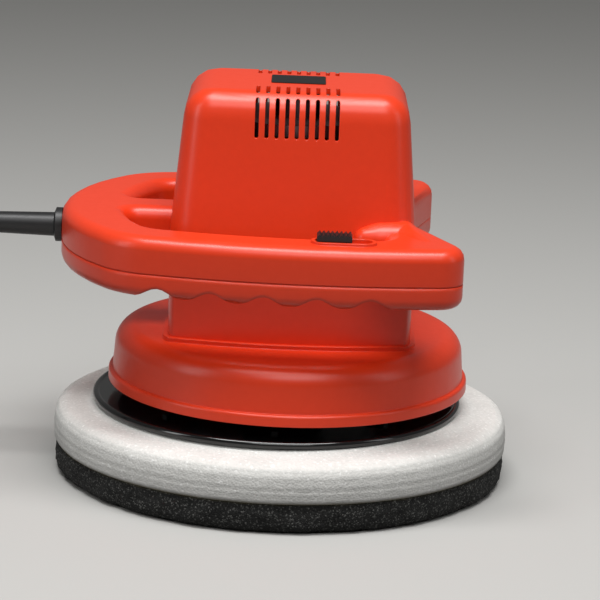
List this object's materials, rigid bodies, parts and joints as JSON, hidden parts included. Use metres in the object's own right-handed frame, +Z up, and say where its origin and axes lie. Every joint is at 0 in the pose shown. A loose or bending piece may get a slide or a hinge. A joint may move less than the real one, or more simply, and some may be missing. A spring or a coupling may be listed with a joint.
{
  "type": "dual action polisher",
  "caption": "Hand-held dual action polisher: tapered motor cover, ring handle with finger waves and slide switch, skirted orbit drive, layered foam pad and coiled mains cord.",
  "frame": {"origin": "on the motor axis, at the working face of the pad", "axes": "+Z up along the motor axis, -Y towards the grip with the switch, -X towards the cord"},
  "size_m": [0.3313, 0.1888, 0.1563],
  "materials": {
    "red_shell": "satin moulded",
    "black_plate": "flat printed film, bare",
    "plate_gloss": "polished",
    "black_plastic": "fine grain",
    "cord_rubber": "smooth sheath",
    "grey_plastic": "soft strap",
    "plug_metal": "nickel plated",
    "screw_steel": "zinc plated",
    "bearing_steel": "ground",
    "dark_steel": "blackened",
    "lamination": "stacked sheet",
    "copper": "enamelled wire",
    "cast_grey": "die cast",
    "bronze": "sintered",
    "tan_plastic": "moulded",
    "carbon": "pressed carbon",
    "fan_plastic": "moulded",
    "film_yellow": "dipped",
    "wire_skin": "insulation",
    "foam_white": "open-cell foam",
    "foam_dark": "coarse open-cell foam"
  },
  "bodies": {
    "machine": {"upper_housing": "red_shell", "lower_housing": "red_shell", "skirt": "red_shell", "rating_plate": "black_plate", "switch_body": "black_plastic", "cord_clamp": "black_plastic", "plug_body": "black_plastic", "cord_guard": "cord_rubber", "cord_lead": "cord_rubber", "cord_coil": "cord_rubber", "cord_tail": "cord_rubber", "coil_tie": "grey_plastic", "plug_pins": "plug_metal", "housing_screws": "screw_steel", "skirt_screws": "screw_steel", "motor_screws": "screw_steel", "clamp_screws": "screw_steel", "stator_bolts": "screw_steel", "lower_bearing_outer": "bearing_steel", "brush_springs": "bearing_steel", "stator_core": "lamination", "field_coils": "copper", "motor_bracket": "cast_grey", "brush_bracket": "cast_grey", "upper_bush": "bronze", "brush_holders": "tan_plastic", "brush_caps": "tan_plastic", "carbon_brushes": "carbon", "capacitor": "film_yellow", "inner_wires": "wire_skin"},
    "switch_slide": {"switch_button": "black_plastic"},
    "rotor": {"motor_shaft": "bearing_steel", "armature_core": "lamination", "armature_windings": "copper", "commutator": "copper", "cooling_fan": "fan_plastic", "lower_bearing_inner": "bearing_steel", "lower_bearing_balls": "bearing_steel", "eccentric_hub": "dark_steel", "counterweight": "dark_steel", "counterweight_screws": "screw_steel", "pad_bearing_inner": "bearing_steel", "pad_bearing_balls": "bearing_steel", "pad_washer": "bearing_steel", "pad_screw": "dark_steel"},
    "pad": {"pad_bearing_outer": "bearing_steel", "bearing_circlip": "dark_steel", "backing_plate": "plate_gloss", "white_foam": "foam_white", "dark_foam": "foam_dark"}
  },
  "joints": [
    {"name": "rotor_spin", "type": "hinge", "parent": "machine", "child": "rotor", "pos_m": [0, 0, 0], "axis": [0, 0, 1], "continuous": true},
    {"name": "pad_spin", "type": "hinge", "parent": "rotor", "child": "pad", "pos_m": [-0.004, 0, 0], "axis": [0, 0, 1], "continuous": true},
    {"name": "switch_travel", "type": "slide", "parent": "machine", "child": "switch_slide", "axis": [1, 0, 0], "range_m": [0, 0.007]}
  ]
}
